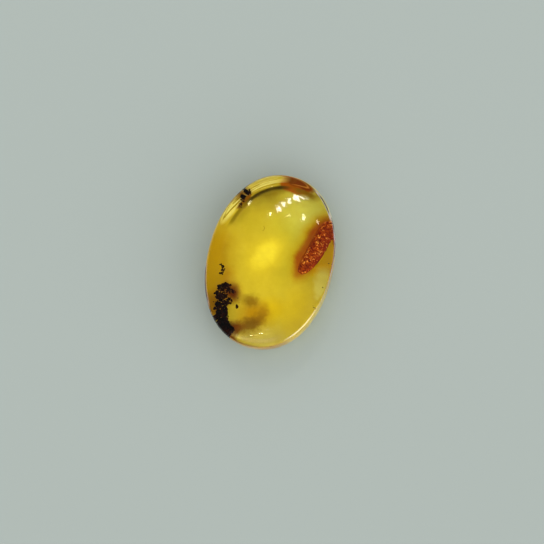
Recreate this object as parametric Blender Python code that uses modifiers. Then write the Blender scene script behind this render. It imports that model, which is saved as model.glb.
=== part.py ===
# Amber cabochon with plant debris sealed in it.
# Metres, +Z up. The stone lies on its flat back with its centre at the origin: its long axis runs
# along Y, its short axis along X, and its low crown faces up above a deep rounded wall.
import math
import random

import bmesh
import bpy
from mathutils import Matrix, Vector, noise

MM = 0.001

# The stone
STONE_LENGTH = 20.0 * MM
STONE_WIDTH = 14.2 * MM
STONE_HEIGHT = 6.0 * MM
GIRDLE_HEIGHT = 4.4 * MM        # height of the widest line above the flat back
BACK_INSET = 1.6 * MM           # how far the rim of the flat back stays inside the outline
OUTLINE_FULLNESS = 2.12         # 2 is a plain ellipse, more fills its corners
CROWN_FULLNESS = 2.2            # 2 is an elliptical crown, more gives fuller shoulders
SLICES = 64
CROWN_RINGS = 11
BELT_RINGS = 2                  # from the girdle down to the parting
WALL_RINGS = 8                  # from the parting down to the flat back

# The parting between the two halves, level with the sealed debris
PARTING_HEIGHT = 3.0 * MM
PARTING_GAP = 0.3 * MM

# The long orange flake: places along it, each with its half width there, then its full width
FLAKE_LINE = [
    ((3.55, -0.55), 0.10),
    ((4.12, 1.05), 0.61),
    ((4.76, 3.40), 0.64),
    ((5.08, 5.45), 0.06),
]
FLAKE_WIDTH = 1.55 * MM
FLAKE_THICKNESS = 0.95 * MM
FLAKE_TAPER = 0.15              # the butt is broader than the tip by this share
FLAKE_BOW = 0.16 * MM           # how far its middle stands out towards the stone's side
FLAKE_GRAIN = 0.55 * MM         # size of the crackled lumps on it
FLAKE_RELIEF = 0.11 * MM        # how far the lumps stand out

# Debris: each cluster follows a line of places, in mm, each with the half width of the cluster there.
# Loose is the number of crumbs beside the chain along the line, sizes the least and greatest crumb
# radius in mm, and keep the share of the joined skin's faces that stays.
CLUSTERS = {
    "debris_patch": {
        "line": [
            ((-4.45, -3.45), 0.45),
            ((-3.95, -4.40), 0.88),
            ((-4.15, -5.50), 0.62),
            ((-3.68, -6.70), 0.44),
            ((-2.95, -7.65), 0.34),
            ((-2.32, -8.28), 0.22),
        ],
        "loose": 70, "sizes": (0.18, 0.30), "seed": 11, "keep": 0.27,
    },
    "debris_crumbs": {
        "line": [
            ((-5.00, -1.65), 0.18),
            ((-4.90, -2.15), 0.26),
        ],
        "loose": 7, "sizes": (0.12, 0.20), "seed": 3, "keep": 0.6,
    },
    "rim_crumbs": {
        "line": [
            ((-4.63, 5.48), 0.12),
            ((-4.38, 6.38), 0.14),
            ((-3.92, 7.15), 0.08),
        ],
        "loose": 6, "sizes": (0.10, 0.17), "seed": 7, "keep": 0.6,
    },
}
CLUSTER_DEPTH = 0.26 * MM       # how far crumbs lie above or below the parting
CRUMB_VOXEL = 0.10 * MM         # fineness of the skin that joins the crumbs
CRUMB_SPACING = 0.20 * MM       # step between the crumbs that hold a cluster together
CHAIN_DRIFT = 0.3               # how far the chain wanders, as a share of the half width
CHAIN_RISE = 0.4                # how far it rises and falls, as a share of the depth

# The single grain, as a line so short that it is one place
LONE_LINE = [
    ((-2.45, -5.69), 0.10),
    ((-2.41, -5.69), 0.10),
]
LONE_RADIUS = 0.24 * MM
LONE_SEED = 5

# Pockets in the two halves
POCKET_ROOM = 0.58 * MM         # how far a pocket reaches past the line of its debris, to each side
POCKET_HALF_HEIGHT = 0.95 * MM
POCKET_STEP = 0.35 * MM
POCKET_VOXEL = 0.25 * MM
POCKET_KEEP = 0.4               # share of the pocket's faces that is kept


def clear_scene():
    for old in list(bpy.data.objects):
        bpy.data.objects.remove(old, do_unlink=True)


def new_collection(name):
    collection = bpy.data.collections.new(name)
    bpy.context.scene.collection.children.link(collection)
    return collection


def new_material(name, colour, roughness, transmission=0.0, ior=1.5):
    material = bpy.data.materials.new(name)
    material.use_nodes = True
    shader = material.node_tree.nodes["Principled BSDF"]
    shader.inputs["Base Color"].default_value = (*colour, 1.0)
    shader.inputs["Roughness"].default_value = roughness
    shader.inputs["Metallic"].default_value = 0.0
    shader.inputs["Transmission Weight"].default_value = transmission
    shader.inputs["IOR"].default_value = ior
    material.diffuse_color = (*colour, 1.0)
    return material


def new_object(name, mesh, collection, material=None):
    thing = bpy.data.objects.new(name, mesh)
    collection.objects.link(thing)
    if material:
        thing.data.materials.append(material)
    return thing


def finish_shape(name, shape, collection, material=None):
    """Turn a finished bmesh into an object."""
    mesh = bpy.data.meshes.new(name)
    shape.to_mesh(mesh)
    shape.free()
    return new_object(name, mesh, collection, material)


def settle_mesh(thing):
    """Make the modifiers' result the object's own mesh."""
    bpy.context.view_layer.update()
    graph = bpy.context.evaluated_depsgraph_get()
    finished = bpy.data.meshes.new_from_object(thing.evaluated_get(graph))
    thing.modifiers.clear()
    thing.data = finished


# The stone's section, as (share of the outline, height). Below the girdle the share is 1 and the
# outline itself draws in, by the same distance all round.


def crown_point(rise_angle):
    power = 2.0 / CROWN_FULLNESS
    share = math.cos(rise_angle) ** power
    rise = math.sin(rise_angle) ** power
    return share, GIRDLE_HEIGHT + rise * (STONE_HEIGHT - GIRDLE_HEIGHT)


def wall_angle(height):
    """Angle of a height on the quarter ellipse from the girdle (0) down to the flat back."""
    return math.asin(max(0.0, 1.0 - height / GIRDLE_HEIGHT))


def wall_points(top, foot, rings):
    """Points of the wall below the girdle, even in angle, from one height down to another."""
    start = wall_angle(top)
    end = wall_angle(foot)
    points = []
    for ring in range(rings + 1):
        angle = start + (end - start) * ring / rings
        points.append((1.0, GIRDLE_HEIGHT * (1.0 - math.sin(angle))))
    return points


def upper_section():
    face = PARTING_HEIGHT + PARTING_GAP / 2
    section = [(0.0, STONE_HEIGHT)]
    for ring in range(1, CROWN_RINGS):
        section.append(crown_point(math.pi / 2 * (1 - ring / CROWN_RINGS)))
    section += wall_points(GIRDLE_HEIGHT, face, BELT_RINGS)
    section.append((0.0, face))
    return section


def lower_section():
    face = PARTING_HEIGHT - PARTING_GAP / 2
    return [(0.0, face)] + wall_points(face, 0.0, WALL_RINGS) + [(0.0, 0.0)]


def outline_place(share, around, height):
    """Place at a share of the outline's half sizes, in one direction from the middle."""
    drawn_in = BACK_INSET * (1.0 - math.cos(wall_angle(height)))
    across = abs(math.cos(around)) ** OUTLINE_FULLNESS
    lengthwise = abs(math.sin(around)) ** OUTLINE_FULLNESS
    share *= (across + lengthwise) ** (-1 / OUTLINE_FULLNESS)
    x = share * (STONE_WIDTH / 2 - drawn_in) * math.cos(around)
    y = share * (STONE_LENGTH / 2 - drawn_in) * math.sin(around)
    return Vector((x, y, height))


def turned_oval(name, section, collection, material):
    """Turn a section about Z at radius 1 mm, then stretch the round form to the oval outline."""
    places = [(share * MM, 0.0, height) for share, height in section]
    edges = [(i, i + 1) for i in range(len(places) - 1)]
    mesh = bpy.data.meshes.new(name)
    mesh.from_pydata(places, edges, [])
    stone = new_object(name, mesh, collection, material)
    turn = stone.modifiers.new("turn", "SCREW")
    turn.axis = "Z"
    turn.angle = 2 * math.pi
    turn.steps = SLICES
    turn.render_steps = SLICES
    turn.use_merge_vertices = True
    turn.merge_threshold = 0.000001
    settle_mesh(stone)
    for vertex in stone.data.vertices:
        place = vertex.co.copy()
        share = math.hypot(place.x, place.y) / MM
        vertex.co = outline_place(share, math.atan2(place.y, place.x), place.z)
    stone.data.shade_smooth()
    stone.data.set_sharp_from_angle(angle=math.radians(35))
    return stone


# Debris


def along(line, share):
    """Place and half width at a share of the way along a line of places."""
    reach = share * (len(line) - 1)
    step = min(int(reach), len(line) - 2)
    rest = reach - step
    (start, start_width), (end, end_width) = line[step], line[step + 1]
    place = Vector(start).lerp(Vector(end), rest) * MM
    heading = (Vector(end) - Vector(start)).normalized()
    return place, heading, (start_width + (end_width - start_width) * rest) * MM


def level_place(stop):
    """A place of a line, raised to the level of the debris."""
    (x, y), half_width = stop
    return Vector((x * MM, y * MM, PARTING_HEIGHT))


def line_length(line):
    places = [Vector(place) for place, width in line]
    return sum((b - a).length for a, b in zip(places, places[1:])) * MM


def add_crumb(shape, place, radius, draw):
    """One angular grain, turned and squashed at random."""
    spin = Matrix.Rotation(draw.uniform(0, math.pi), 4, "Z")
    tip_over = Matrix.Rotation(draw.uniform(0, math.pi), 4, "X")
    squash = Matrix.Diagonal((1.0, draw.uniform(0.75, 1.0), draw.uniform(0.7, 0.95), 1.0))
    where = Matrix.Translation(place) @ spin @ tip_over @ squash
    bmesh.ops.create_icosphere(shape, subdivisions=1, radius=radius, matrix=where)


def crumb_place(line, share, drift, rise):
    """A place beside the line: drift in half widths across it, rise in depths above the parting."""
    place, heading, half_width = along(line, share)
    aside = Vector((-heading.y, heading.x)) * drift * half_width
    return Vector((place.x + aside.x, place.y + aside.y, PARTING_HEIGHT + rise * CLUSTER_DEPTH))


def join_with_skin(thing, voxel, keep):
    """Wrap one even skin around shapes that overlap, and thin its faces."""
    skin = thing.modifiers.new("skin", "REMESH")
    skin.mode = "VOXEL"
    skin.voxel_size = voxel
    fewer = thing.modifiers.new("fewer", "DECIMATE")
    fewer.ratio = keep


def crumb_cluster(name, plan, collection, material):
    """Crumbs fused along a line: a chain that holds them together, and loose ones to both sides."""
    draw = random.Random(plan["seed"])
    least, greatest = plan["sizes"]
    shape = bmesh.new()
    chain = max(2, round(line_length(plan["line"]) / CRUMB_SPACING))
    for i in range(chain + 1):
        drift = draw.uniform(-CHAIN_DRIFT, CHAIN_DRIFT)
        rise = draw.uniform(-CHAIN_RISE, CHAIN_RISE)
        add_crumb(shape, crumb_place(plan["line"], i / chain, drift, rise), greatest * MM, draw)
    for i in range(plan["loose"]):
        place = crumb_place(plan["line"], draw.random(), draw.uniform(-1, 1), draw.uniform(-1, 1))
        add_crumb(shape, place, draw.uniform(least, greatest) * MM, draw)
    cluster = finish_shape(name, shape, collection, material)
    join_with_skin(cluster, CRUMB_VOXEL, plan["keep"])
    return cluster


def bark_flake(collection, material):
    """A flattened, bowed spindle, broader at its butt, with a crackled skin."""
    shape = bmesh.new()
    bmesh.ops.create_icosphere(shape, subdivisions=4, radius=1.0)
    tip = level_place(FLAKE_LINE[0])
    butt = level_place(FLAKE_LINE[-1])
    heading = butt - tip
    half_size = Vector((heading.length, FLAKE_WIDTH, FLAKE_THICKNESS)) / 2
    for vertex in shape.verts:
        place = vertex.co.copy()
        form = place * half_size
        form.y *= 1.0 + FLAKE_TAPER * place.x / 2
        form.y -= FLAKE_BOW * (1.0 - place.x ** 2)
        near, next_near = noise.voronoi(form / FLAKE_GRAIN)[0][:2]
        lump = min(next_near - near, 0.5) * 2 - 1
        vertex.co = form + place * lump * FLAKE_RELIEF
    turn = Matrix.Rotation(math.atan2(heading.y, heading.x), 4, "Z")
    where = Matrix.Translation((tip + butt) / 2) @ turn
    bmesh.ops.transform(shape, matrix=where, verts=shape.verts)
    return finish_shape("bark_flake", shape, collection, material)


def lone_crumb(collection, material):
    draw = random.Random(LONE_SEED)
    shape = bmesh.new()
    bmesh.ops.create_icosphere(shape, subdivisions=2, radius=LONE_RADIUS)
    for vertex in shape.verts:
        vertex.co *= draw.uniform(0.8, 1.1)
    bmesh.ops.translate(shape, vec=level_place(LONE_LINE[0]), verts=shape.verts)
    return finish_shape("lone_crumb", shape, collection, material)


# Pockets


def pocket(name, line, collection):
    """A cutter of flattened balls that follows a line of places, joined by one skin."""
    shape = bmesh.new()
    steps = max(2, round(line_length(line) / POCKET_STEP))
    for i in range(steps + 1):
        place, heading, half_width = along(line, i / steps)
        reach = half_width + POCKET_ROOM
        size = Matrix.Diagonal((reach, reach, POCKET_HALF_HEIGHT, 1.0))
        where = Matrix.Translation((place.x, place.y, PARTING_HEIGHT)) @ size
        bmesh.ops.create_icosphere(shape, subdivisions=2, radius=1.0, matrix=where)
    cutter = finish_shape(name, shape, collection)
    join_with_skin(cutter, POCKET_VOXEL, POCKET_KEEP)
    cutter.hide_render = True
    cutter.display_type = "WIRE"
    return cutter


def all_pockets(collection):
    lines = {name: plan["line"] for name, plan in CLUSTERS.items()}
    lines["bark_flake"] = FLAKE_LINE
    lines["lone_crumb"] = LONE_LINE
    return [pocket(name + "_pocket", line, collection) for name, line in lines.items()]


def cut_pockets(stone, cutters):
    for cutter in cutters:
        cut = stone.modifiers.new(cutter.name, "BOOLEAN")
        cut.operation = "DIFFERENCE"
        cut.solver = "EXACT"
        cut.object = cutter


def build():
    clear_scene()
    parts = new_collection("amber_piece")
    cutters = new_collection("cutters")
    amber = new_material("amber", (0.80, 0.50, 0.05), 0.05, transmission=1.0, ior=1.54)
    bark = new_material("bark", (0.45, 0.12, 0.01), 0.7)
    debris = new_material("debris", (0.035, 0.012, 0.004), 0.8)

    upper = turned_oval("amber_upper", upper_section(), parts, amber)
    lower = turned_oval("amber_lower", lower_section(), parts, amber)
    pockets = all_pockets(cutters)
    cut_pockets(upper, pockets)
    cut_pockets(lower, pockets)

    bark_flake(parts, bark)
    for name, plan in CLUSTERS.items():
        crumb_cluster(name, plan, parts, debris)
    lone_crumb(parts, debris)


build()
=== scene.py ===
# Amber cabochon with sealed plant debris, on a pale floor in soft light
import math
import random

import bmesh
import bpy
from mathutils import Matrix, Vector, noise


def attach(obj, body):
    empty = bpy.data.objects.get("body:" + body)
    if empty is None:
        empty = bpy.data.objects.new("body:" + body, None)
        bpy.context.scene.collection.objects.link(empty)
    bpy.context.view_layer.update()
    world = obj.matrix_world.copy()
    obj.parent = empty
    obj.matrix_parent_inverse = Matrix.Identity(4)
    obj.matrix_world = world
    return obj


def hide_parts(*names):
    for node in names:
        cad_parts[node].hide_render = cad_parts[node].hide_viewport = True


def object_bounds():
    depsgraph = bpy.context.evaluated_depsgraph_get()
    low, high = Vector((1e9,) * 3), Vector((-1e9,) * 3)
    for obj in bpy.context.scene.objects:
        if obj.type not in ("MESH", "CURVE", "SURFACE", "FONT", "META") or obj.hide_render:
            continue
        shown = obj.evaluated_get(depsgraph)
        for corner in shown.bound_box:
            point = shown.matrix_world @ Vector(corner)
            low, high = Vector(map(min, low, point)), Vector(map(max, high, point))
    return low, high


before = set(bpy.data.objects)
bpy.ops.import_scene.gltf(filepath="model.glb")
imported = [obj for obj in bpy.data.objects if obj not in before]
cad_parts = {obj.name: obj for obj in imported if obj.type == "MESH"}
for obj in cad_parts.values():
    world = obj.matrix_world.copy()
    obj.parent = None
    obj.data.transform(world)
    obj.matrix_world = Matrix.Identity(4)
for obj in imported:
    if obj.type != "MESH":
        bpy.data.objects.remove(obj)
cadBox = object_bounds()
mm = 0.001
girdleHeight = 4.4 * mm    # of the widest line, above the flat back


# Helpers


def linear(hexColour):
    # sRGB hex to the linear colour that nodes take
    parts = [int(hexColour[i:i + 2], 16) / 255 for i in (1, 3, 5)]
    return tuple(p / 12.92 if p <= 0.04045 else ((p + 0.055) / 1.055) ** 2.4 for p in parts) + (1.0,)


def addNode(tree, kind, settings=None, links=None, stops=()):
    # settings by socket or by property, links by socket, and the stops of a colour ramp from low to high
    node = tree.nodes.new(kind)
    for key, value in (settings or {}).items():
        if isinstance(key, int) or key in node.inputs:
            node.inputs[key].default_value = value
        else:
            setattr(node, key, value)
    for key, source in (links or {}).items():
        tree.links.new(source, node.inputs[key])
    if stops:
        ramp = node.color_ramp.elements
        ramp[0].position, ramp[1].position = stops[0][0], stops[-1][0]
        for share, tone in stops[1:-1]:
            ramp.new(share)
        for stop, (share, tone) in zip(ramp, stops):
            stop.color = linear(tone)
    return node


def newMaterial(name):
    material = bpy.data.materials.new(name)
    material.use_nodes = True
    tree = material.node_tree
    tree.nodes.clear()
    return material, tree


def newPiece(name, shape, material, smooth=True):
    mesh = bpy.data.meshes.new(name)
    shape.to_mesh(mesh)
    shape.free()
    mesh.materials.append(material)
    if smooth:
        mesh.shade_smooth()
    piece = bpy.data.objects.new(name, mesh)
    bpy.context.scene.collection.objects.link(piece)
    return piece


def sumNodes(tree, sockets):
    # a Math node adds two, so a list of sockets takes a chain of them
    total = sockets[0]
    for socket in sockets[1:]:
        total = addNode(tree, "ShaderNodeMath", {"operation": "ADD"}, {0: total, 1: socket}).outputs[0]
    return total


def softSpot(tree, coords, place, size, turn, edge):
    # 1 in the middle of a turned ellipsoid, 0 outside it; an edge under 1 gives a flatter middle
    mapped = addNode(tree, "ShaderNodeMapping", {
        "vector_type": "TEXTURE",
        "Location": [v * mm for v in place],
        "Rotation": (0, 0, math.radians(turn)),
        "Scale": [v * mm for v in size],
    }, {"Vector": coords})
    ball = addNode(tree, "ShaderNodeTexGradient", {"gradient_type": "SPHERICAL"},
                   {"Vector": mapped.outputs[0]})
    soft = addNode(tree, "ShaderNodeMapRange", {
        "interpolation_type": "SMOOTHSTEP", "From Min": 0.0, "From Max": edge,
    }, {"Value": ball.outputs["Fac"]})
    return soft.outputs[0]


# Camera: above the face, leaning towards the stone's lower right

view = {
    "tilt": 16.0,                # degrees from straight above
    "bearing": 222.0,            # which way it leans, degrees from +Y
    "lean": 13.4,                # degrees that the long axis leans right of picture up
    "pixel": 0.1119 * mm,        # size of a pixel at the girdle
    "middle": (275.2, 270.3),    # pixel of the middle of the flat back
    "picture": 544,              # pixels across
    "distance": 0.4,             # m
    "sensor": 36,                # mm
    "near": 0.01,                # m, nothing nearer is drawn
}
tilt = math.radians(view["tilt"])
bearing = math.radians(view["bearing"])
lean = math.radians(view["lean"])
toCamera = Vector((-math.sin(bearing) * math.sin(tilt), math.cos(bearing) * math.sin(tilt),
                   math.cos(tilt)))
along = Vector((0, 1, 0)) - toCamera * toCamera.y
along.normalize()
across = along.cross(toCamera)
pictureUp = along * math.cos(lean) - across * math.sin(lean)
pictureRight = pictureUp.cross(toCamera)


def fromPicture(right, up, near):
    # a place from its distances to the picture's right, up and towards the camera, in metres
    return pictureRight * right + pictureUp * up + toCamera * near


def makeCamera():
    half = view["picture"] / 2
    right = (half - view["middle"][0]) * view["pixel"]
    up = (view["middle"][1] - half) * view["pixel"]
    target = fromPicture(right, up, girdleHeight * toCamera.z)
    data = bpy.data.cameras.new("camera")
    data.sensor_width = view["sensor"]
    data.lens = data.sensor_width * view["distance"] / (view["picture"] * view["pixel"])
    data.clip_start = view["near"]
    camera = bpy.data.objects.new("camera", data)
    pose = Matrix((pictureRight, pictureUp, toCamera)).transposed().to_4x4()
    pose.translation = target + toCamera * view["distance"]
    camera.matrix_world = pose
    bpy.context.scene.collection.objects.link(camera)
    bpy.context.scene.camera = camera


makeCamera()
print("camera placed")


# Light and floor

studio = {
    "sky": "#ffffff",
    "strength": 1.04,
    "side": (0.50, -0.62, 0.60),    # its brighter side, to the picture's right, up and near
    "sideStart": 0.25,              # cosine from that side at which the sky starts to brighten
    "gain": 2.3,                    # how much brighter it gets
    "sheen": 0.08,                  # share of the sky which a polished face mirrors
    "areas": [
        # place to the picture's right, up and near (m), size (m) and radiance
        # the row of highlights near the upper end
        {"at": (-0.0752, 0.2308, 0.2625), "size": (0.007, 0.014), "glow": 24, "colour": "#ffffff"},
        {"at": (-0.0638, 0.2408, 0.2568), "size": (0.006, 0.016), "glow": 20, "colour": "#ffffff"},
        {"at": (-0.0466, 0.2518, 0.2504), "size": (0.008, 0.020), "glow": 22, "colour": "#ffffff"},
        {"at": (-0.0188, 0.2641, 0.2418), "size": (0.024, 0.025), "glow": 22, "colour": "#ffffff"},
        {"at": (0.0070, 0.2705, 0.2360), "size": (0.024, 0.013), "glow": 13, "colour": "#ffffff"},
        {"at": (0.0330, 0.2745, 0.2300), "size": (0.020, 0.009), "glow": 9, "colour": "#ffffff"},
        # single glints below that row and at its ends
        {"at": (-0.0934, 0.2190, 0.2663), "size": (0.004, 0.010), "glow": 28, "colour": "#fff6cc"},
        {"at": (-0.0531, 0.2188, 0.2773), "size": (0.010, 0.004), "glow": 9, "colour": "#fff6cc"},
        {"at": (-0.0036, 0.2179, 0.2833), "size": (0.010, 0.015), "glow": 22, "colour": "#fffbe4"},
        {"at": (0.0773, 0.2127, 0.2775), "size": (0.012, 0.009), "glow": 14, "colour": "#fff6cc"},
        # two beside the bright band
        {"at": (-0.1614, 0.2521, 0.1973), "size": (0.010, 0.016), "glow": 14, "colour": "#fff6cc"},
        {"at": (-0.0913, 0.2989, 0.1775), "size": (0.010, 0.008), "glow": 14, "colour": "#fff6cc"},
        # three near the lower end
        {"at": (-0.1409, -0.0533, 0.3251), "size": (0.004, 0.016), "glow": 30, "colour": "#fff6cc"},
        {"at": (-0.1014, -0.0276, 0.3419), "size": (0.007, 0.007), "glow": 60, "colour": "#fff6cc"},
        {"at": (-0.0742, -0.0005, 0.3493), "size": (0.006, 0.006), "glow": 30, "colour": "#fff6cc"},
    ],
    "floor": "#8a928e",
    "floorHalf": 1.0,               # m
    "floorDrop": 0.03 * mm,         # keeps the floor clear of the flat back
}


def makeWorld():
    world = bpy.data.worlds.new("studio")
    world.use_nodes = True
    tree = world.node_tree
    tree.nodes.clear()
    ray = addNode(tree, "ShaderNodeLightPath").outputs
    mirrored = addNode(tree, "ShaderNodeMath", {"operation": "SUBTRACT", "use_clamp": True},
                       {0: ray["Is Glossy Ray"], 1: ray["Is Transmission Ray"]}).outputs[0]
    heading = addNode(tree, "ShaderNodeTexCoord").outputs["Generated"]
    brightest = fromPicture(*studio["side"]).normalized()
    side = addNode(tree, "ShaderNodeVectorMath", {"operation": "DOT_PRODUCT", 1: brightest}, {0: heading})
    sky = addNode(tree, "ShaderNodeMapRange", {
        "interpolation_type": "SMOOTHSTEP", "From Min": studio["sideStart"],
        "To Min": 1.0, "To Max": 1 + studio["gain"],
    }, {"Value": side.outputs["Value"]})
    held = addNode(tree, "ShaderNodeMapRange", {
        "To Min": studio["strength"], "To Max": studio["strength"] * studio["sheen"],
    }, {"Value": mirrored})
    strength = addNode(tree, "ShaderNodeMath", {"operation": "MULTIPLY"},
                       {0: sky.outputs[0], 1: held.outputs[0]})
    background = addNode(tree, "ShaderNodeBackground", {"Color": linear(studio["sky"])},
                         {"Strength": strength.outputs[0]})
    addNode(tree, "ShaderNodeOutputWorld", None, {"Surface": background.outputs[0]})
    bpy.context.scene.world = world


def makeArea(name, plan):
    data = bpy.data.lights.new(name, "AREA")
    data.shape = "RECTANGLE"
    data.size, data.size_y = plan["size"]
    data.energy = plan["glow"] * math.pi * plan["size"][0] * plan["size"][1]    # W
    data.color = linear(plan["colour"])[:3]
    lamp = bpy.data.objects.new(name, data)
    place = fromPicture(*plan["at"])
    lamp.matrix_world = Matrix.Translation(place) @ place.to_track_quat("Z", "Y").to_matrix().to_4x4()
    bpy.context.scene.collection.objects.link(lamp)


def paperMaterial():
    # matt paper: no gloss, one pale grey-green
    material, tree = newMaterial("mattPaper")
    shader = addNode(tree, "ShaderNodeBsdfPrincipled", {
        "Base Color": linear(studio["floor"]), "Roughness": 0.9, "Specular IOR Level": 0.1,
    })
    addNode(tree, "ShaderNodeOutputMaterial", None, {"Surface": shader.outputs[0]})
    return material


def makeFloor():
    shape = bmesh.new()
    bmesh.ops.create_grid(shape, x_segments=1, y_segments=1, size=studio["floorHalf"])
    bmesh.ops.translate(shape, vec=(0, 0, -studio["floorDrop"]), verts=shape.verts)
    floor = newPiece("floor", shape, paperMaterial(), smooth=False)


makeWorld()
for index, plan in enumerate(studio["areas"]):
    makeArea("softLight%d" % index, plan)
makeFloor()
bpy.context.scene.view_settings.view_transform = "Standard"
print("light and floor placed")


# The clear stone

halfWidth = (cadBox[1][0] - cadBox[0][0]) / 2
halfLength = (cadBox[1][1] - cadBox[0][1]) / 2
stone = {
    "height": cadBox[1][2],
    "girdle": girdleHeight,
    "backInset": 1.6 * mm,    # how far the rim of the back stays inside the outline
    "outline": 2.12,          # fullness of the outline, 2 is an ellipse
    "crown": 2.2,             # fullness of the crown
    "slices": 192,
    "crownRings": 44,
    "wallRings": 36,
    "backRings": 8,
    "merge": 0.00002 * mm,    # closes the poles and the seam of the spin
}


def drawnIn(height):
    # how far the wall has come in from the outline, a quarter of an ellipse
    fall = math.asin(min(1.0, max(0.0, 1 - height / stone["girdle"])))
    return stone["backInset"] * (1 - math.cos(fall))


def stoneShape():
    # the section is spun as a disc of radius 1, then drawn out to the oval
    quarter = math.pi / 2
    power = 2 / stone["crown"]
    rise = stone["height"] - stone["girdle"]
    section = [(0.0, stone["height"])]
    for ring in range(1, stone["crownRings"] + 1):
        angle = quarter * (1 - ring / stone["crownRings"])
        section.append((math.cos(angle) ** power,
                        stone["girdle"] + rise * max(0.0, math.sin(angle)) ** power))
    for ring in range(1, stone["wallRings"] + 1):
        section.append((1.0, stone["girdle"] * (1 - math.sin(quarter * ring / stone["wallRings"]))))
    for ring in range(stone["backRings"] - 1, -1, -1):
        section.append((ring / stone["backRings"], 0.0))
    shape = bmesh.new()
    verts = [shape.verts.new((share * mm, 0, height)) for share, height in section]
    edges = [shape.edges.new(pair) for pair in zip(verts, verts[1:])]
    bmesh.ops.spin(shape, geom=verts + edges, cent=(0, 0, 0), axis=(0, 0, 1), angle=2 * math.pi,
                   steps=stone["slices"], use_merge=True)
    bmesh.ops.remove_doubles(shape, verts=shape.verts, dist=stone["merge"])
    full = stone["outline"]
    for vert in shape.verts:
        around = math.atan2(vert.co.y, vert.co.x)
        share = math.hypot(vert.co.x, vert.co.y) / mm
        share *= (abs(math.cos(around)) ** full + abs(math.sin(around)) ** full) ** (-1 / full)
        inset = drawnIn(vert.co.z)
        vert.co.x = share * (halfWidth - inset) * math.cos(around)
        vert.co.y = share * (halfLength - inset) * math.sin(around)
    bmesh.ops.recalc_face_normals(shape, faces=shape.faces)
    return shape


# The amber's own colour and haze. Haze, tint and the stains and painted light on the back fade out from
# one height to another.
body = {
    "colour": "#d9ca5c",
    "hazeFades": (0.9 * mm, 1.6 * mm),
    "tintFades": (1.6 * mm, 2.4 * mm),
    "backFades": (0.5 * mm, 1.3 * mm),
    "mottle": "#a88c2c", "mottleAmount": 0.17,
    "cloud": 0.7 / mm,                        # mottling to a millimetre
    "drift": (2.0 * mm, 1.1 * mm),            # size and reach of the lumps in a stain's edge
    "lumps": (0.45 * mm, 1.1 * mm),           # the same for a lumpy one
    "scratches": (10 / mm, 2.5 / mm, 2.5 / mm),    # to a millimetre, across and along the stone
    "scratchDepth": 0.0009 * mm,
    "absorbs": "#fff86a", "density": 150.0,   # per metre
}
unbounded = {"back": 9, "ring": 99}    # half height in mm of the stains that give only x and y
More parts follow.
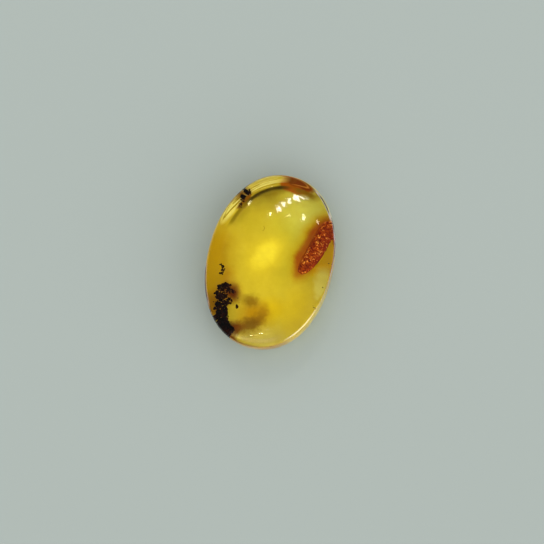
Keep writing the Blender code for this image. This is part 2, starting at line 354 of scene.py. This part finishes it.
# Stains in the amber, and painted light and shade: place and half size in mm, turn in degrees, colour,
# how strong the colour is if not 1, and how much haze it brings. Those on the back lie on the flat back
# only, a ring is a line of one height along a part of the outline, an edge under 1 gives a flatter middle
# and lumpy a ragged edge.
stainsAndPaintedLight = [
    # greener and clearer towards the upper right, golden at the left and the lower right
    {"on": "back", "place": (1.2, 5.6), "size": (5.6, 6.4), "colour": "#ccca6a", "edge": 1.0},
    {"on": "back", "place": (2.4, 6.8), "size": (4.0, 4.0), "colour": "#dce0a4", "edge": 0.9},
    # painted shade: darker olive towards the back's rim at the upper left, inside the bright band
    {"on": "back", "place": (-2.4, 6.6), "size": (3.6, 1.5), "turn": 26, "colour": "#bcb052",
     "edge": 0.8},
    {"on": "back", "place": (-2.2, 7.9), "size": (3.6, 0.8), "turn": 24, "colour": "#9c8c2c",
     "edge": 0.8},
    {"on": "back", "place": (-3.6, 4.6), "size": (2.6, 3.2), "turn": -20, "colour": "#cabe50",
     "tint": 0.9, "edge": 1.0},
    {"on": "back", "place": (1.6, 0.4), "size": (2.2, 4.4), "turn": -8, "colour": "#c6bc52",
     "tint": 0.8, "edge": 1.0},
    {"on": "back", "place": (1.4, -8.6), "size": (5.0, 2.6), "colour": "#ded49b", "edge": 0.6},
    {"on": "back", "place": (-6.2, -1.0), "size": (3.1, 6.2), "colour": "#bc9c02", "edge": 0.9},
    {"on": "back", "place": (-5.2, -5.0), "size": (2.3, 3.2), "colour": "#b08406", "edge": 0.8},
    {"on": "back", "place": (3.6, -4.4), "size": (2.6, 3.6), "colour": "#e4d03a", "tint": 0.9,
     "edge": 0.9},
    {"on": "back", "place": (0.8, -4.8), "size": (2.4, 2.0), "colour": "#dcc41c", "tint": 0.9,
     "edge": 0.8},
    # the hazy middle, painted bright as a pool of light focused through the stone
    {"on": "back", "place": (-0.9, 1.2), "size": (3.9, 2.7), "turn": 52, "colour": "#f0e05c",
     "edge": 1.0},
    {"on": "back", "place": (-1.0, 1.2), "size": (2.6, 1.5), "turn": 56, "colour": "#fff478",
     "edge": 0.8},
    # gold and brown about the flake, and the clearer strip below it
    {"on": "back", "place": (3.2, 1.6), "size": (2.2, 3.6), "turn": -3, "colour": "#ccb410",
     "edge": 0.7},
    {"on": "back", "place": (3.8, 4.7), "size": (2.0, 3.2), "turn": -20, "colour": "#ccb00c",
     "edge": 0.6},
    {"on": "back", "place": (4.6, 2.4), "size": (1.6, 3.1), "turn": -6, "colour": "#dcb406",
     "edge": 0.35},
    {"on": "back", "place": (5.4, -1.3), "size": (1.15, 2.9), "turn": 12, "colour": "#e8e4b4",
     "edge": 0.45},
    {"on": "back", "place": (3.1, 1.4), "size": (1.45, 3.1), "turn": -3, "colour": "#ac5200",
     "edge": 0.6},
    {"on": "back", "place": (3.8, 4.5), "size": (1.3, 2.9), "turn": -20, "colour": "#a84e00",
     "edge": 0.6},
    # the brown cloud beside the debris: a golden ground, an arc, a cap and a bar
    {"on": "back", "place": (-0.9, -5.6), "size": (2.5, 2.4), "colour": "#c09606", "edge": 0.9},
    {"on": "back", "place": (0.0, -5.5), "size": (0.9, 1.7), "turn": -12, "colour": "#a67e02",
     "tint": 0.9, "edge": 0.9, "lumpy": True},
    {"on": "back", "place": (-1.45, -4.3), "size": (1.4, 1.15), "turn": 8, "colour": "#866406",
     "tint": 0.85, "edge": 0.9, "lumpy": True},
    {"on": "back", "place": (-0.85, -6.6), "size": (1.9, 1.3), "turn": 30, "colour": "#704802",
     "tint": 0.85, "edge": 0.8, "lumpy": True},
    {"on": "back", "place": (-2.1, -7.3), "size": (1.2, 0.9), "turn": 20, "colour": "#7c4000",
     "edge": 0.8, "lumpy": True},
    # dark red where light filters past the debris
    {"on": "back", "place": (-3.85, -3.7), "size": (2.0, 1.8), "turn": -40, "colour": "#a86402",
     "edge": 1.0},
    {"on": "back", "place": (-3.62, -3.82), "size": (1.75, 1.2), "turn": -48, "colour": "#560500",
     "edge": 0.9},
    {"on": "back", "place": (-4.6, -1.8), "size": (1.5, 1.5), "colour": "#bc8604", "tint": 0.6,
     "edge": 1.0},
    {"on": "back", "place": (-2.9, -7.3), "size": (1.2, 1.1), "colour": "#7c3002", "edge": 1.0},
    {"on": "back", "place": (-3.0, -7.4), "size": (0.9, 0.9), "colour": "#480400", "edge": 0.8},
    # the wall: deep amber at the left, red-brown crust at the top end
    {"on": "wall", "place": (-6.0, -1.4, 0.4), "size": (1.5, 6.0, 1.8), "colour": "#c0a004",
     "tint": 1.6, "edge": 0.9, "haze": 1.0},
    {"on": "wall", "place": (-4.9, -5.6, 0.6), "size": (1.5, 2.6, 2.0), "colour": "#9c7204",
     "tint": 1.5, "edge": 1.0, "haze": 1.0},
    {"on": "wall", "place": (-4.6, 6.7, 0.6), "size": (0.9, 1.5, 1.0), "turn": -20,
     "colour": "#7c4c10", "tint": 3.0, "edge": 0.6, "haze": 1.0},
    {"on": "wall", "place": (0.25, 9.1, 0.25), "size": (2.1, 1.1, 1.3), "turn": -6,
     "colour": "#b25404", "tint": 3.0, "edge": 0.6, "haze": 1.0},
    {"on": "wall", "place": (1.2, 8.95, 0.95), "size": (2.8, 1.2, 1.05), "turn": -12,
     "colour": "#741400", "tint": 2.0, "edge": 0.8, "haze": 1.0},
    # thin lines level with the outline: olive painted shade at the wall's foot, a pale orange painted
    # highlight above it, and dark painted shade, a brown line and pale painted reflections along the girdle
    # painted shade: dark olive at the wall's foot, where the shadowed floor shows through
    {"on": "ring", "height": 0.12, "width": 0.15, "place": (-2.6, 7.9), "size": (3.2, 1.6),
     "turn": 29, "colour": "#342c00", "edge": 0.5, "haze": 0.0},
    {"on": "ring", "height": 0.10, "width": 0.14, "place": (-5.0, 5.2), "size": (1.4, 2.4),
     "turn": -21, "colour": "#857612", "tint": 0.9, "edge": 0.6, "haze": 0.0},
    {"on": "ring", "height": 0.10, "width": 0.16, "place": (1.4, 8.5), "size": (1.8, 1.0),
     "turn": -14, "colour": "#84640c", "tint": 0.9, "edge": 0.6, "haze": 0.0},
    # a painted highlight: a pale orange line at the top end
    {"on": "ring", "height": 0.42, "width": 0.05, "place": (1.1, 8.9), "size": (1.3, 0.6),
     "turn": -10, "colour": "#dc9450", "tint": 0.9, "edge": 0.5, "haze": 0.0},
    # painted shade: a dark line inside the right edge, down to the lower right
    {"on": "ring", "height": 4.76, "width": 0.14, "place": (4.6, 7.4), "size": (1.9, 2.4), "turn": 34,
     "colour": "#2a1e02", "edge": 0.7, "haze": 0.9},
    {"on": "ring", "height": 4.56, "width": 0.16, "place": (6.0, 5.3), "size": (1.5, 2.2), "turn": 22,
     "colour": "#2a1c02", "edge": 0.8, "haze": 0.8},
    {"on": "ring", "height": 4.42, "width": 0.20, "place": (7.0, 2.0), "size": (1.6, 4.0),
     "colour": "#302204", "edge": 0.9, "haze": 0.8},
    {"on": "ring", "height": 4.42, "width": 0.20, "place": (7.1, -1.8), "size": (1.6, 3.2),
     "colour": "#7c6a1c", "tint": 0.9, "edge": 0.9, "haze": 0.5},
    # a brown line along the left edge
    {"on": "ring", "height": 4.62, "width": 0.30, "place": (-6.4, -4.0), "size": (2.4, 3.0),
     "colour": "#4a2004", "edge": 0.5, "haze": 0.5},
    # painted reflections: pale lines where the edge catches the light at the left, the lower right and the
    # lower end
    {"on": "ring", "height": 4.40, "width": 0.26, "place": (-7.2, 2.6), "size": (2.6, 5.6),
     "colour": "#e2ac7c", "edge": 0.5, "haze": 0.6},
    {"on": "ring", "height": 4.64, "width": 0.13, "place": (5.2, -6.4), "size": (2.0, 3.4),
     "turn": -28, "colour": "#ece2a0", "edge": 0.9, "haze": 0.5},
    {"on": "ring", "height": 5.02, "width": 0.12, "place": (0.6, -9.4), "size": (3.4, 2.0),
     "colour": "#f0e4a8", "edge": 1.0, "haze": 0.07},
]
# Painted highlights: pale and white streaks painted on the wall at the upper left stand in for light
# reflected inside the stone, and make the wall hazy there
paintedBandLight = {
    "sectors": [
        {"place": (-5.35, 5.0, 0.78), "size": (0.9, 2.1, 0.60), "turn": -21},
        {"place": (-2.5, 8.15, 0.82), "size": (2.7, 1.2, 0.60), "turn": 29},
    ],
    "edge": 0.6,
    "tones": [(0.36, "#94800e"), (0.42, "#fff8b0"), (0.47, "#ffffff")],
    # a mark is one painted streak
    "mark": 0.10 * mm, "run": 3.0 * mm,    # width and length of a mark
}


def belowHeight(tree, height, fades):
    # 1 up to the first height, 0 from the second
    full, gone = fades
    return addNode(tree, "ShaderNodeMapRange", {
        "interpolation_type": "SMOOTHSTEP", "From Min": gone, "From Max": full,
    }, {"Value": height}).outputs[0]


def levelRing(tree, height, level, width):
    # 1 within 0.3 of the width above and below a height, falling to 0 at the width
    offset = addNode(tree, "ShaderNodeMath", {"operation": "SUBTRACT", 1: level * mm}, {0: height})
    away = addNode(tree, "ShaderNodeMath", {"operation": "ABSOLUTE"}, {0: offset.outputs[0]})
    return addNode(tree, "ShaderNodeMapRange", {
        "interpolation_type": "SMOOTHSTEP", "From Min": width * mm, "From Max": width * 0.3 * mm,
    }, {"Value": away.outputs[0]}).outputs[0]


def driftedPlace(tree, coords, size, reach):
    # coordinates that wander by up to the reach, in lumps of the size
    wander = addNode(tree, "ShaderNodeTexNoise", {"Scale": 1 / size, "Detail": 6.0, "Roughness": 0.62},
                     {"Vector": coords})
    centred = addNode(tree, "ShaderNodeVectorMath", {"operation": "SUBTRACT", 1: (0.5, 0.5, 0.5)},
                      {0: wander.outputs["Color"]})
    shift = addNode(tree, "ShaderNodeVectorMath", {"operation": "SCALE", "Scale": reach},
                    {0: centred.outputs[0]})
    moved = addNode(tree, "ShaderNodeVectorMath", {"operation": "ADD"}, {0: coords, 1: shift.outputs[0]})
    return moved.outputs[0]


def colouredPart(tree, colouring, coords, height, onBack):
    # where a stain, or a patch of painted light or shade, lies, from 0 to 1
    place, size = colouring["place"], colouring["size"]
    if colouring["on"] in unbounded:
        place, size = (*place, 0), (*size, unbounded[colouring["on"]])
    spot = softSpot(tree, coords, place, size, colouring.get("turn", 0), colouring["edge"])
    if colouring["on"] == "wall":
        return spot
    held = onBack if colouring["on"] == "back" else levelRing(tree, height, colouring["height"], colouring["width"])
    return addNode(tree, "ShaderNodeMath", {"operation": "MULTIPLY"}, {0: spot, 1: held}).outputs[0]


def paintedLightStreaks(tree, coords):
    # colours of the painted highlight streaks, which run level along the wall, and where they are
    run = 1 / paintedBandLight["run"]
    stretched = addNode(tree, "ShaderNodeMapping", {"Scale": (run, run, 1 / paintedBandLight["mark"])},
                        {"Vector": coords})
    streaks = addNode(tree, "ShaderNodeTexNoise", {"Scale": 1.0, "Detail": 2.0},
                      {"Vector": stretched.outputs[0]})
    paintedStreakColour = addNode(tree, "ShaderNodeValToRGB", None, {"Fac": streaks.outputs["Fac"]}, paintedBandLight["tones"])
    spots = [softSpot(tree, coords, sector["place"], sector["size"], sector["turn"], paintedBandLight["edge"])
             for sector in paintedBandLight["sectors"]]
    paintedStreakMask = addNode(tree, "ShaderNodeClamp", None, {"Value": sumNodes(tree, spots)})
    return paintedStreakColour.outputs[0], paintedStreakMask.outputs[0]


def amberMaterial():
    # Baltic amber, cut and polished: a clear yellow resin, hazy and honey-coloured in its depth, with a
    # gloss that fine polishing scratches break up
    material, tree = newMaterial("polishedAmber")
    coords = addNode(tree, "ShaderNodeTexCoord").outputs["Object"]
    height = addNode(tree, "ShaderNodeSeparateXYZ", None, {0: coords}).outputs[2]
    drifted = driftedPlace(tree, coords, *body["drift"])
    lumpy = driftedPlace(tree, drifted, *body["lumps"])
    onBack = belowHeight(tree, height, body["backFades"])
    tinted = belowHeight(tree, height, body["tintFades"])
    white = (1, 1, 1, 1)
    colour = addNode(tree, "ShaderNodeMix", {"data_type": "RGBA", 6: white, 7: linear(body["colour"])},
                     {0: tinted}).outputs[2]
    hazes = [belowHeight(tree, height, body["hazeFades"])]
    # stains, and painted light and shade, laid one over another
    for colouring in stainsAndPaintedLight:
        there = colouredPart(tree, colouring, lumpy if "lumpy" in colouring else drifted, height, onBack)
        amount = addNode(tree, "ShaderNodeMath", {
            "operation": "MULTIPLY", "use_clamp": True, 1: colouring.get("tint", 1.0),
        }, {0: there})
        colour = addNode(tree, "ShaderNodeMix", {"data_type": "RGBA", 7: linear(colouring["colour"])},
                         {0: amount.outputs[0], 6: colour}).outputs[2]
        if "haze" in colouring:
            haze = addNode(tree, "ShaderNodeMath", {
                "operation": "MULTIPLY", "use_clamp": True, 1: colouring["haze"],
            }, {0: there})
            hazes.append(haze.outputs[0])
    # faint mottling of the haze, from 1 mm clouds down to 0.1 mm specks
    clouds = addNode(tree, "ShaderNodeTexNoise", {
        "Scale": body["cloud"], "Detail": 6.0, "Roughness": 0.7,
    }, {"Vector": coords})
    mottling = addNode(tree, "ShaderNodeMapRange", {
        "From Min": 0.36, "From Max": 0.66, "To Min": 0.0, "To Max": body["mottleAmount"],
    }, {"Value": clouds.outputs["Fac"]})
    mottled = addNode(tree, "ShaderNodeMath", {"operation": "MULTIPLY"},
                      {0: mottling.outputs[0], 1: tinted})
    colour = addNode(tree, "ShaderNodeMix", {"data_type": "RGBA", 7: linear(body["mottle"])},
                     {0: mottled.outputs[0], 6: colour}).outputs[2]
    # painted highlights: the bright streaks on the wall at the upper left
    paintedStreakColour, paintedStreakMask = paintedLightStreaks(tree, coords)
    colour = addNode(tree, "ShaderNodeMix", {"data_type": "RGBA"},
                     {0: paintedStreakMask, 6: colour, 7: paintedStreakColour}).outputs[2]
    hazes.append(paintedStreakMask)
    clear = addNode(tree, "ShaderNodeMath", {"operation": "SUBTRACT", "use_clamp": True, 0: 1.0},
                    {1: sumNodes(tree, hazes)})
    # polishing scratches along the stone, 0.1 mm apart and too shallow to blur what lies below
    brushed = addNode(tree, "ShaderNodeMapping", {"Scale": body["scratches"]}, {"Vector": coords})
    scratches = addNode(tree, "ShaderNodeTexNoise", {"Scale": 1.0, "Detail": 3.0},
                        {"Vector": brushed.outputs[0]})
    bump = addNode(tree, "ShaderNodeBump", {"Strength": 1.0, "Distance": body["scratchDepth"]},
                   {"Height": scratches.outputs["Fac"]})
    shader = addNode(tree, "ShaderNodeBsdfPrincipled", {
        "IOR": 1.54, "Roughness": 0.05, "Specular IOR Level": 0.1,
    }, {"Base Color": colour, "Transmission Weight": clear.outputs[0], "Normal": bump.outputs[0]})
    depth = addNode(tree, "ShaderNodeVolumeAbsorption", {
        "Color": linear(body["absorbs"]), "Density": body["density"],
    })
    addNode(tree, "ShaderNodeOutputMaterial", None,
            {"Surface": shader.outputs[0], "Volume": depth.outputs[0]})
    return material


amberClear = newPiece("amber_clear", stoneShape(), amberMaterial())
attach(amberClear, "root")
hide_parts("amber_upper", "amber_lower")
print("stone made")


# Debris: grains along lines of (x, y) and half width in mm, like those of the solids, sizes are radii in mm

debris = {
    "debris_patch": {
        "seed": 11,
        "runs": [
            {"line": [((-4.62, -3.50), 0.40), ((-4.30, -3.95), 0.85), ((-3.92, -4.70), 1.00)],
             "grains": 210, "sizes": (0.07, 0.17)},
            {"line": [((-3.92, -4.70), 0.98), ((-4.20, -5.40), 0.75), ((-4.10, -6.20), 0.62)],
             "grains": 290, "sizes": (0.06, 0.16)},
            {"line": [((-4.00, -6.20), 0.60), ((-3.72, -6.95), 0.50), ((-3.30, -7.80), 0.42),
                      ((-2.35, -8.45), 0.34)],
             "grains": 420, "sizes": (0.09, 0.21)},
        ],
    },
    "debris_crumbs": {
        "seed": 3,
        "runs": [
            {"line": [((-5.35, -1.30), 0.08), ((-4.85, -1.62), 0.14)],
             "grains": 15, "sizes": (0.07, 0.13)},
            {"line": [((-4.85, -1.62), 0.16), ((-4.98, -2.45), 0.14)],
             "grains": 20, "sizes": (0.07, 0.14)},
        ],
    },
    "rim_crumbs": {
        "seed": 7,
        "runs": [
            {"line": [((-4.42, 7.12), 0.16), ((-3.86, 7.30), 0.26)],
             "grains": 48, "sizes": (0.08, 0.18)},
            {"line": [((-4.42, 6.80), 0.20), ((-4.68, 6.20), 0.26)],
             "grains": 28, "sizes": (0.07, 0.15)},
            {"line": [((-4.68, 5.90), 0.16), ((-4.64, 5.40), 0.16)],
             "grains": 14, "sizes": (0.07, 0.14)},
        ],
    },
    "lone_crumb": {
        "seed": 5,
        "runs": [
            {"line": [((-2.52, -5.69), 0.10), ((-2.34, -5.69), 0.12)],
             "grains": 7, "sizes": (0.12, 0.18)},
        ],
    },
}
sealedHeight = 3.0 * mm    # all that is sealed lies level with the parting of the halves
grains = {
    "depth": 0.26 * mm,                  # how far they reach above and below that height
    "stray": 0.15, "strayReach": 1.2,    # this share of them lies so much further out, loose
    "width": (0.6, 1.0), "thickness": (0.55, 0.9),    # against a grain's length
    "subdivisions": 2,
    "knock": (0.72, 1.15),               # how far its corners are knocked in or out
    "pits": 4.5 / mm, "pitDepth": 0.05 * mm,    # pits to a millimetre
    "blotches": 1.6 / mm,                # red-brown ones to a millimetre
    "tones": [(0.42, "#060100"), (0.75, "#341004")],
}


def alongLine(line, share):
    # the place, the heading and the half width at a share of the line
    reach = share * (len(line) - 1)
    step = min(int(reach), len(line) - 2)
    rest = reach - step
    (start, startWidth), (end, endWidth) = line[step], line[step + 1]
    heading = (Vector(end) - Vector(start)).normalized()
    place = Vector(start).lerp(Vector(end), rest) * mm
    return place, heading, (startWidth + (endWidth - startWidth) * rest) * mm


def addGrain(shape, place, radius, draw):
    # one angular grain, knocked out of round
    turn = (Matrix.Rotation(draw.uniform(0, math.pi), 4, "Z")
            @ Matrix.Rotation(draw.uniform(0, math.pi), 4, "X"))
    width = draw.uniform(*grains["width"])
    squash = Matrix.Diagonal((1.0, width, draw.uniform(*grains["thickness"]), 1.0))
    grain = bmesh.ops.create_icosphere(shape, subdivisions=grains["subdivisions"], radius=radius,
                                       matrix=Matrix.Translation(place) @ turn @ squash)
    for vert in grain["verts"]:
        vert.co = place + (vert.co - place) * draw.uniform(*grains["knock"])


def crumbMaterial():
    # charred wood and frass: matt, near black, with red-brown where light gets through the edges
    material, tree = newMaterial("granularDebris")
    coords = addNode(tree, "ShaderNodeTexCoord").outputs["Object"]
    cells = addNode(tree, "ShaderNodeTexVoronoi", {"Scale": grains["pits"]}, {"Vector": coords})
    tone = addNode(tree, "ShaderNodeTexNoise", {"Scale": grains["blotches"], "Detail": 4.0},
                   {"Vector": coords})
    ramp = addNode(tree, "ShaderNodeValToRGB", None, {"Fac": tone.outputs["Fac"]}, grains["tones"])
    bump = addNode(tree, "ShaderNodeBump", {"Strength": 0.6, "Distance": grains["pitDepth"]},
                   {"Height": cells.outputs["Distance"]})
    shader = addNode(tree, "ShaderNodeBsdfPrincipled", {"Roughness": 0.75, "Specular IOR Level": 0.02},
                     {"Base Color": ramp.outputs[0], "Normal": bump.outputs[0]})
    addNode(tree, "ShaderNodeOutputMaterial", None, {"Surface": shader.outputs[0]})
    return material


def makeCrumbs(name, plan, material):
    draw = random.Random(plan["seed"])
    shape = bmesh.new()
    for run in plan["runs"]:
        least, greatest = run["sizes"]
        for grain in range(run["grains"]):
            place, heading, half = alongLine(run["line"], draw.random())
            aside = Vector((-heading.y, heading.x)) * draw.uniform(-1, 1) * half
            if draw.random() < grains["stray"]:
                aside *= grains["strayReach"]
            height = sealedHeight + draw.uniform(-1, 1) * grains["depth"]
            size = least + (greatest - least) * draw.random() ** 2    # small ones are commoner
            addGrain(shape, Vector((place.x + aside.x, place.y + aside.y, height)), size * mm, draw)
    piece = newPiece(name + "_grains", shape, material, smooth=False)
    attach(piece, "root")
    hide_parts(name)


crumbs = crumbMaterial()
for name, plan in debris.items():
    makeCrumbs(name, plan, crumbs)
print("debris made")


# Specks and a short hair, loose in the clear resin

loose = {
    "seed": 9,
    # each speck's (x, y) and radius in mm
    "specks": [((6.00, 1.16), 0.05), ((5.94, -1.60), 0.045), ((5.48, -3.92), 0.045),
               ((5.44, -3.80), 0.03), ((-2.55, -4.69), 0.06), ((-2.69, -7.40), 0.05),
               ((-2.30, -5.20), 0.04)],
    "parts": 2, "spread": 0.4,    # grains in a speck and how far apart, against its radius
    # the hair is an arc, from and sweep in degrees
    "hair": {"middle": (-1.86, 3.52), "bend": 0.36 * mm, "thick": 0.018 * mm, "from": -50, "sweep": 100,
             "steps": 16, "sides": 8, "bands": 6 / mm, "tones": [(0.0, "#5a3c08"), (1.0, "#a07c20")]},
}


def makeSpecks(material):
    draw = random.Random(loose["seed"])
    spread = loose["spread"]
    shape = bmesh.new()
    for (x, y), radius in loose["specks"]:
        for part in range(loose["parts"]):
            aside = Vector([draw.uniform(-spread, spread) * radius for axis in range(3)])
            place = (Vector((x, y, 0)) + aside) * mm + Vector((0, 0, sealedHeight))
            addGrain(shape, place, radius * mm, draw)
    piece = newPiece("resin_specks", shape, material, smooth=False)
    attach(piece, "root")


def hairMaterial():
    # a plant hair: thin, matt and straw brown
    material, tree = newMaterial("plantHair")
    coords = addNode(tree, "ShaderNodeTexCoord").outputs["Object"]
    plan = loose["hair"]
    tone = addNode(tree, "ShaderNodeTexNoise", {"Scale": plan["bands"]}, {"Vector": coords})
    ramp = addNode(tree, "ShaderNodeValToRGB", None, {"Fac": tone.outputs["Fac"]}, plan["tones"])
    shader = addNode(tree, "ShaderNodeBsdfPrincipled", {"Roughness": 0.7, "Specular IOR Level": 0.02},
                     {"Base Color": ramp.outputs[0]})
    addNode(tree, "ShaderNodeOutputMaterial", None, {"Surface": shader.outputs[0]})
    return material


def makeHair():
    plan = loose["hair"]
    shape = bmesh.new()
    start = (Matrix.Rotation(math.radians(plan["from"]), 4, "Z")
             @ Matrix.Translation((plan["bend"], 0, 0)) @ Matrix.Rotation(math.pi / 2, 4, "X"))
    ring = bmesh.ops.create_circle(shape, segments=plan["sides"], radius=plan["thick"], cap_ends=True,
                                   matrix=start)
    faces = {face for vert in ring["verts"] for face in vert.link_faces}
    bmesh.ops.spin(shape, geom=ring["verts"] + list(faces), cent=(0, 0, 0), axis=(0, 0, 1),
                   angle=math.radians(plan["sweep"]), steps=plan["steps"])
    bmesh.ops.translate(shape, vec=(plan["middle"][0] * mm, plan["middle"][1] * mm, sealedHeight),
                        verts=shape.verts)
    bmesh.ops.recalc_face_normals(shape, faces=shape.faces)
    piece = newPiece("resin_hair", shape, hairMaterial())
    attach(piece, "root")


makeSpecks(crumbs)
makeHair()
print("specks and hair made")


# The bark flake

flake = {
    "tip": (3.46, -0.70), "butt": (5.10, 5.75),    # mm
    "width": 1.82 * mm, "thickness": 0.95 * mm,
    "taper": -0.04, "fullness": 2.35,       # 2 is an ellipsoid
    "bow": 0.30 * mm,                       # how far its middle stands out towards the stone's side
    "lump": 0.22 * mm, "relief": 0.07 * mm, "lumpTop": 0.5,    # granules and where they flatten
    "grit": 0.1 * mm, "gritRelief": 0.03 * mm,
    "subdivisions": 6,
    "cell": 0.15 * mm,                      # crackle in its colour
    "cluster": 0.5 * mm,                    # groups of paler granules
    "granules": [(0.08, "#6c1400"), (0.35, "#983800"), (0.68, "#b84c04"), (0.85, "#f08830"),
                 (1.0, "#ffae4c")],
    "crack": "#701c00", "crackWidth": 0.12, "crackDepth": 0.06 * mm,    # width against a cell
    # worn smooth on the inner side, and painted shade in darker red towards the stone's edge, from one
    # distance from the flake's middle line to another
    "sides": [
        {"colour": "#a04600", "band": (0.22 * mm, 0.72 * mm), "amount": 1.0},
        # painted shade
        {"colour": "#7c1600", "band": (-0.25 * mm, -0.95 * mm), "amount": 0.45},
    ],
}


def barkMaterial():
    # a flake of crackled bark soaked in resin: orange granules parted by red-brown cracks
    material, tree = newMaterial("crackledBark")
    coords = addNode(tree, "ShaderNodeTexCoord").outputs["Object"]
    cells = addNode(tree, "ShaderNodeTexVoronoi", {"Scale": 1 / flake["cell"]}, {"Vector": coords})
    cracks = addNode(tree, "ShaderNodeTexVoronoi", {
        "feature": "DISTANCE_TO_EDGE", "Scale": 1 / flake["cell"],
    }, {"Vector": coords})
    grey = addNode(tree, "ShaderNodeSeparateColor", None, {0: cells.outputs["Color"]})
    # paler granules lie in clusters
    patches = addNode(tree, "ShaderNodeTexNoise", {"Scale": 1 / flake["cluster"], "Detail": 2.0},
                      {"Vector": coords})
    spread = addNode(tree, "ShaderNodeMapRange", {
        "From Min": 0.35, "From Max": 0.65, "To Min": 0.45, "To Max": 1.25,
    }, {"Value": patches.outputs["Fac"]})
    bright = addNode(tree, "ShaderNodeMath", {"operation": "MULTIPLY"},
                     {0: grey.outputs[0], 1: spread.outputs[0]})
    ramp = addNode(tree, "ShaderNodeValToRGB", None, {"Fac": bright.outputs[0]}, flake["granules"])
    edge = addNode(tree, "ShaderNodeMapRange", {"From Min": 0.0, "From Max": flake["crackWidth"]},
                   {"Value": cracks.outputs["Distance"]})
    colour = addNode(tree, "ShaderNodeMix", {"data_type": "RGBA", 6: linear(flake["crack"])},
                     {0: edge.outputs[0], 7: ramp.outputs[0]}).outputs[2]
    heading = (Vector(flake["butt"]) - Vector(flake["tip"])).normalized()
    acrossIt = Vector((-heading.y, heading.x, 0))
    offset = acrossIt.dot(Vector((*flake["tip"], 0))) * mm
    side = addNode(tree, "ShaderNodeVectorMath", {"operation": "DOT_PRODUCT", 1: acrossIt}, {0: coords})
    # the worn side, then the painted shade on the side towards the stone's edge
    for plan in flake["sides"]:
        start, end = plan["band"]
        part = addNode(tree, "ShaderNodeMapRange", {
            "interpolation_type": "SMOOTHSTEP", "From Min": offset + start, "From Max": offset + end,
            "To Max": plan["amount"],
        }, {"Value": side.outputs["Value"]})
        colour = addNode(tree, "ShaderNodeMix", {"data_type": "RGBA", 7: linear(plan["colour"])},
                         {0: part.outputs[0], 6: colour}).outputs[2]
    bump = addNode(tree, "ShaderNodeBump", {"Strength": 0.7, "Distance": flake["crackDepth"]},
                   {"Height": cracks.outputs["Distance"]})
    shader = addNode(tree, "ShaderNodeBsdfPrincipled", {"Roughness": 0.45, "Specular IOR Level": 0.05},
                     {"Base Color": colour, "Normal": bump.outputs[0]})
    addNode(tree, "ShaderNodeOutputMaterial", None, {"Surface": shader.outputs[0]})
    return material


def makeFlake():
    tip = Vector(flake["tip"]) * mm
    butt = Vector(flake["butt"]) * mm
    heading = butt - tip
    middle = (tip + butt) / 2
    shape = bmesh.new()
    bmesh.ops.create_icosphere(shape, subdivisions=flake["subdivisions"], radius=1.0)
    half = Vector((heading.length, flake["width"], flake["thickness"])) / 2
    full = flake["fullness"]
    for vert in shape.verts:
        outward = vert.co.copy()
        outward *= sum(abs(v) ** full for v in outward) ** (-1 / full)
        place = outward * half
        place.y *= 1 + flake["taper"] * outward.x / 2
        place.y -= flake["bow"] * (1 - outward.x ** 2)
        near, nextNear = noise.voronoi(place / flake["lump"])[0][:2]
        lump = min(nextNear - near, flake["lumpTop"]) / flake["lumpTop"] - 1
        fine = noise.noise(place / flake["grit"]) * flake["gritRelief"]
        vert.co = place + outward * (lump * flake["relief"] + fine)
    turn = Matrix.Rotation(math.atan2(heading.y, heading.x), 4, "Z")
    where = Matrix.Translation((middle.x, middle.y, sealedHeight)) @ turn
    bmesh.ops.transform(shape, matrix=where, verts=shape.verts)
    piece = newPiece("bark_flake_crackled", shape, barkMaterial())
    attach(piece, "root")
    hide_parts("bark_flake")


makeFlake()
print("flake made")
